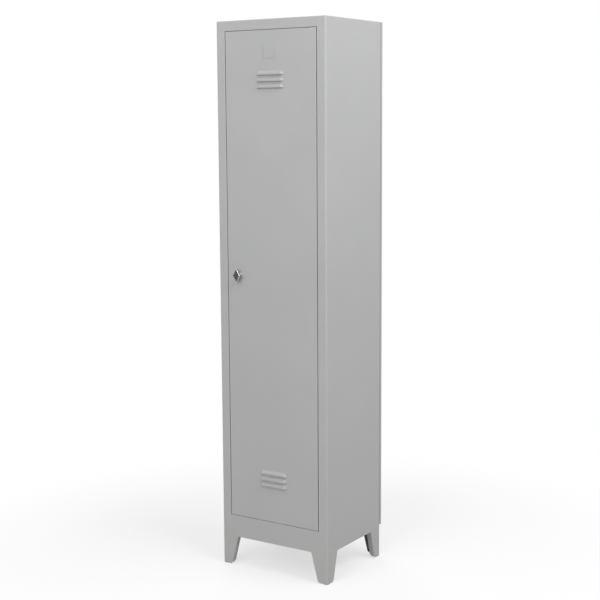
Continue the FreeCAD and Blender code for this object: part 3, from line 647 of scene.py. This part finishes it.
# The floor, with lengths in metres.
FLOOR_HALF = 12.0
FLOOR_TONE = 0.58  # what the floor gives back to the object
FLOOR_GRAIN = 0.015  # how much its fibres vary that tone
FLOOR_LOOK = 0.95  # what it shows to the camera
FLOOR_LIFT = 0.62  # share of plain white mixed into it beside the object
WHITE_FROM = 0.55  # distance from the middle of the object where it starts to go over to plain white
WHITE_TO = 1.5
WORLD_FILL = 0.37


def floor_finish():
    """Pale paper that goes over to plain white away from the object."""
    paper = Finish("floor_paper")
    seen = seen_directly(paper)
    fibre = paper.noise(0.004, 3.0)
    tone = paper.mix(fibre, grey(FLOOR_TONE * (1 - FLOOR_GRAIN)), grey(FLOOR_TONE * (1 + FLOOR_GRAIN)))
    tone = paper.mix(seen, tone, grey(FLOOR_LOOK))
    diffuse = paper.node("ShaderNodeBsdfDiffuse", {}, {"Color": tone})
    white = paper.node("ShaderNodeEmission", {}, {"Color": grey(1.0), "Strength": 1.0})
    far = 1.0 - paper.near((0.0, 0.0, 0.0), WHITE_FROM, WHITE_TO)
    share = seen * (far * (1.0 - FLOOR_LIFT) + FLOOR_LIFT)
    return paper.close(paper.node("ShaderNodeMixShader", {}, {0: share, 1: diffuse, 2: white}))


def set_floor():
    mesh = bpy.data.meshes.new("floor")
    floor = bpy.data.objects.new("floor", mesh)
    shape = bmesh.new()
    bmesh.ops.create_grid(shape, x_segments=1, y_segments=1, size=FLOOR_HALF)
    shape.to_mesh(mesh)
    shape.free()
    bpy.context.scene.collection.objects.link(floor)
    mesh.materials.append(floor_finish())


def set_world():
    """White to look at, a soft even fill to be lit by."""
    world = bpy.data.worlds.new("studio")
    bpy.context.scene.world = world
    studio = Finish("studio", world)
    strength = seen_directly(studio) * (1.0 - WORLD_FILL) + WORLD_FILL
    sky = studio.node("ShaderNodeBackground", {}, {"Color": grey(1.0), "Strength": strength})
    studio.node("ShaderNodeOutputWorld", {}, {"Surface": sky})


# Cards that only mirrors see, so that the chrome has something to draw its facets with:
# the middle of each card, its width and height in metres and the tones of its foot and top.
CARDS = {
    "dark_card_left": ((-1.9, -2.6, 0.75), 1.9, 1.9, 0.20, 0.03),
    "grey_card_right": ((1.45, -1.70, 0.75), 2.2, 1.1, 0.30, 0.34),
    "dark_card_low": ((0.45, -0.80, 0.03), 1.3, 1.1, 0.08, 0.08),
}


def card_finish(name, low, high, foot, top):
    """A card lit from behind, from the tone of its foot to that of its top."""
    card = Finish(name)
    tone = card.mix(card.height().spread(low, high), grey(foot), grey(top))
    return card.close(card.node("ShaderNodeEmission", {}, {"Color": tone, "Strength": 1.0}))


def set_cards():
    for name, (place, width, height, foot, top) in CARDS.items():
        mesh = bpy.data.meshes.new(name)
        card = bpy.data.objects.new(name, mesh)
        shape = bmesh.new()
        facing = (lock_place - Vector(place)).to_track_quat("Z", "Y").to_matrix().to_4x4()
        shaped = Matrix.Diagonal((width / 2, height / 2, 1.0, 1.0))
        bmesh.ops.create_grid(
            shape, x_segments=1, y_segments=1, size=1.0, matrix=Matrix.Translation(place) @ facing @ shaped,
        )
        shape.to_mesh(mesh)
        shape.free()
        bpy.context.scene.collection.objects.link(card)
        mesh.materials.append(card_finish(name, place[2] - height / 2, place[2] + height / 2, foot, top))
        for ray in ("camera", "diffuse", "transmission", "volume_scatter", "shadow"):
            setattr(card, f"visible_{ray}", False)


# Soft boxes: where each stands, what it points at, its side in metres and its power in watts.
SOFT_BOXES = {
    "front_high": ((0.15, -2.8, 3.4), (0.0, -0.2, 1.1), 2.2, 29.5),
    "front_low": ((0.15, -3.4, 2.1), (0.0, -0.2, 1.0), 2.2, 35.0),
    "right_top": ((2.4, -0.7, 3.2), (0.2, -0.1, 1.2), 1.4, 45.0),
    "right_high": ((2.2, 0.5, 3.1), (0.2, 0.0, 1.3), 1.2, 20.0),
    "back_left": ((-2.6, 2.4, 2.4), (-0.1, 0.1, 0.9), 2.2, 34.0),
}


def set_lamps():
    for name, (place, target, side, power) in SOFT_BOXES.items():
        light = bpy.data.lights.new(name, "AREA")
        light.energy = power
        light.size = side
        lamp = bpy.data.objects.new(name, light)
        lamp.location = place
        lamp.rotation_euler = (Vector(target) - Vector(place)).to_track_quat("-Z", "Y").to_euler()
        bpy.context.scene.collection.objects.link(lamp)


soften_sheet_and_plate()
rosette()
knob()
clamp_nut()
cam_screw()
hinge_pins()
rivets()
buffers()
rail_sockets()
set_camera()
set_floor()
set_world()
set_cards()
set_lamps()
bpy.context.scene.view_settings.view_transform = "Standard"
